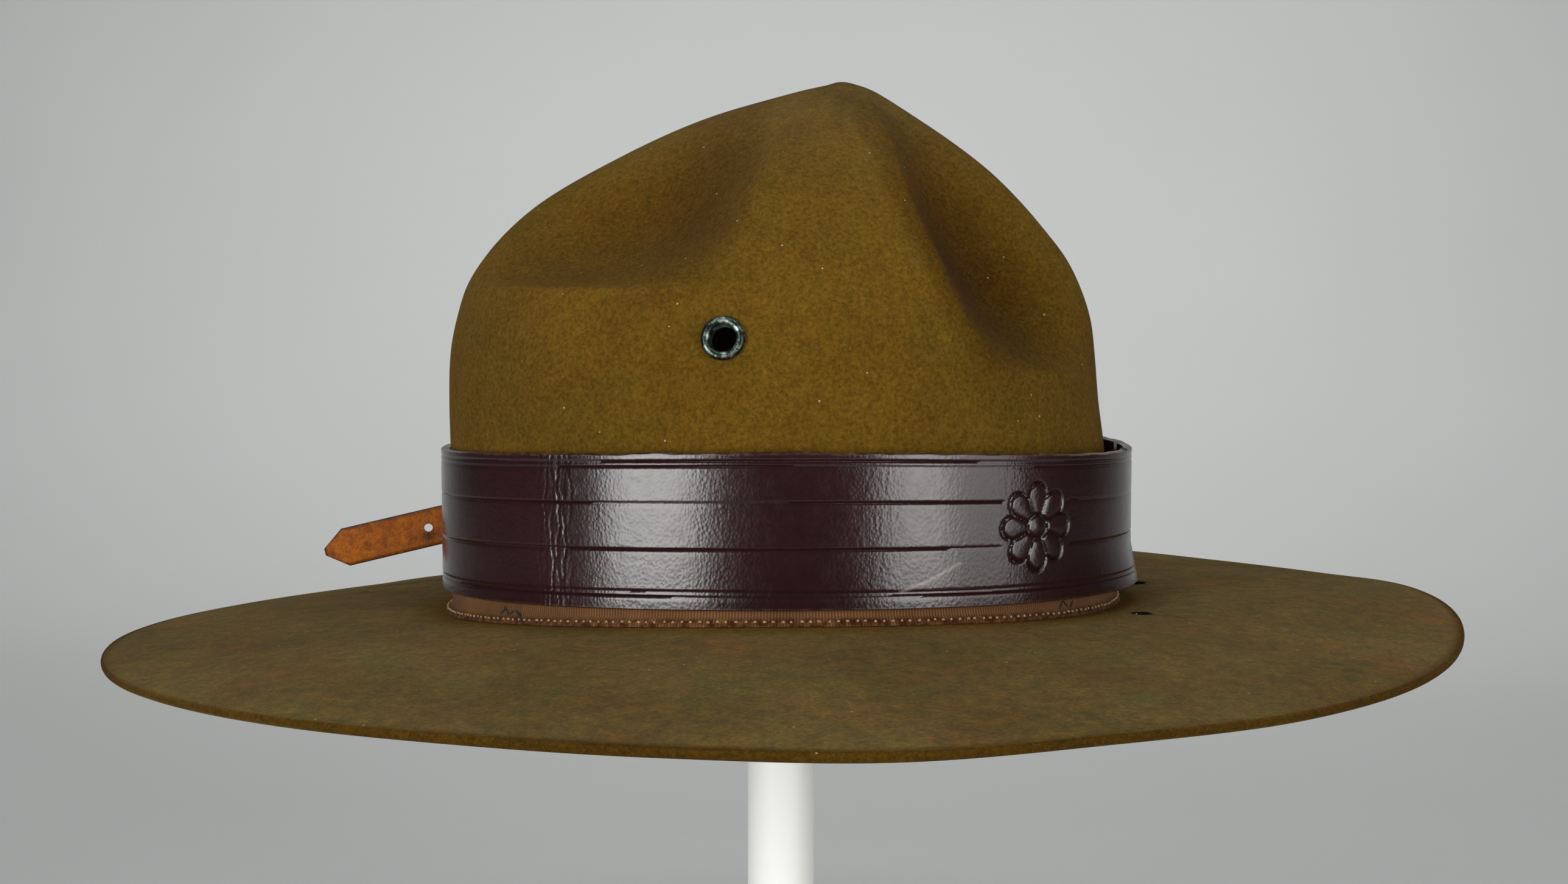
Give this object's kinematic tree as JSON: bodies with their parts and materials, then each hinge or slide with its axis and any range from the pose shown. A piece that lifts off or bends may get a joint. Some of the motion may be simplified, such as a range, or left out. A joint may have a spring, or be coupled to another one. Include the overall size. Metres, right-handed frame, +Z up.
{
  "type": "campaign hat on a stand",
  "caption": "Wide-brimmed felt campaign hat with a peaked, dented crown, tooled leather band, strap and vent eyelets, held up by a plain white post stand.",
  "frame": {"origin": "middle of the underside of the stand's round foot, on the floor, on the axis of the post", "axes": "+X to the front of the hat, +Z up, +Y to the wearer's left"},
  "size_m": [0.4172, 0.378, 0.35],
  "materials": {
    "felt": "brushed olive brown fur felt, matt",
    "grosgrain": "ribbed brown ribbon, matt",
    "band_leather": "polished dark maroon leather, tooled with lines",
    "russet_leather": "waxed russet leather with cut edges",
    "buckle_brass": "dull brass",
    "eyelet_metal": "dark japanned metal, worn bright on the rim",
    "white_plastic": "satin white",
    "white_enamel": "satin white enamel"
  },
  "bodies": {
    "root": {"felt_body": "felt", "ribbon": "grosgrain", "leather_band": "band_leather", "billet_strap": "russet_leather", "buckle": "buckle_brass", "buckle_tab": "russet_leather", "eyelet_right": "eyelet_metal", "eyelet_left": "eyelet_metal", "stand_post": "white_plastic", "stand_cap": "white_plastic", "stand_base": "white_enamel"}
  },
  "joints": []
}
